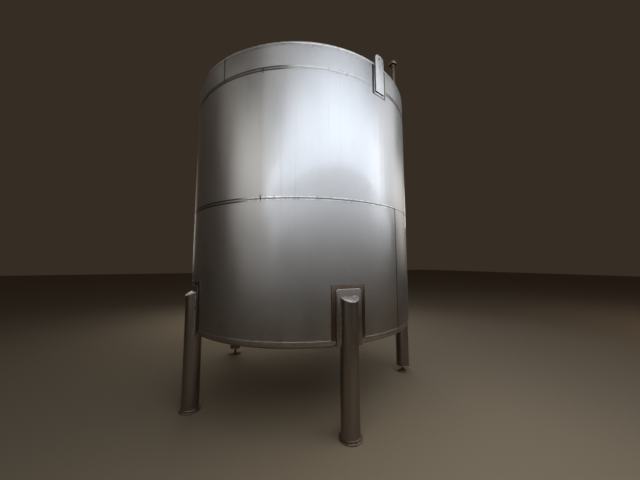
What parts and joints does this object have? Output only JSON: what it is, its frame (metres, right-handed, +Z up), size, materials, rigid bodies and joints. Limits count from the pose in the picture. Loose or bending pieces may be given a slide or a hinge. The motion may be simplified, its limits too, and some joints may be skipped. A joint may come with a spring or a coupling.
{
  "type": "vertical storage tank",
  "caption": "Vertical cylindrical storage tank of welded stainless sheet on tubular legs with adjustable feet, with shallow conical ends, lifting lugs and a roof vent.",
  "frame": {"origin": "middle of the bounding box, on the floor; the tank's own axis stands 52.5 mm behind it, towards +Y", "axes": "+Z up along the tank's axis, -Y towards the front leg, +X to the right seen from the front"},
  "size_m": [2.8724, 2.905, 3.9243],
  "materials": {
    "rolled_sheet": "stainless sheet, dull cold-rolled finish",
    "plate": "stainless plate, hot-rolled and pickled",
    "pipe": "stainless welded pipe, pickled",
    "turned_steel": "stainless steel, turned"
  },
  "bodies": {
    "root": {"lower_course_sheet_1": "rolled_sheet", "lower_course_sheet_2": "rolled_sheet", "lower_course_sheet_3": "rolled_sheet", "middle_course_sheet_1": "rolled_sheet", "middle_course_sheet_2": "rolled_sheet", "middle_course_sheet_3": "rolled_sheet", "top_course_sheet_1": "rolled_sheet", "top_course_sheet_2": "rolled_sheet", "top_course_sheet_3": "rolled_sheet", "bottom_head": "rolled_sheet", "roof": "rolled_sheet", "outlet_nozzle": "turned_steel", "manway_neck": "plate", "manway_lid": "rolled_sheet", "vent_pipe": "turned_steel", "vent_cap": "turned_steel", "right_lug_pad": "plate", "right_lifting_lug": "plate", "left_lug_pad": "plate", "left_lifting_lug": "plate", "front_leg_pad": "plate", "front_leg_saddle": "plate", "front_leg_pipe": "pipe", "front_leg_cap": "plate", "front_leg_foot": "turned_steel", "right_leg_pad": "plate", "right_leg_saddle": "plate", "right_leg_pipe": "pipe", "right_leg_cap": "plate", "right_leg_foot": "turned_steel", "rear_right_leg_pad": "plate", "rear_right_leg_saddle": "plate", "rear_right_leg_pipe": "pipe", "rear_right_leg_cap": "plate", "rear_right_leg_foot": "turned_steel", "rear_left_leg_pad": "plate", "rear_left_leg_saddle": "plate", "rear_left_leg_pipe": "pipe", "rear_left_leg_cap": "plate", "rear_left_leg_foot": "turned_steel", "left_leg_pad": "plate", "left_leg_saddle": "plate", "left_leg_pipe": "pipe", "left_leg_cap": "plate", "left_leg_foot": "turned_steel"}
  },
  "joints": []
}
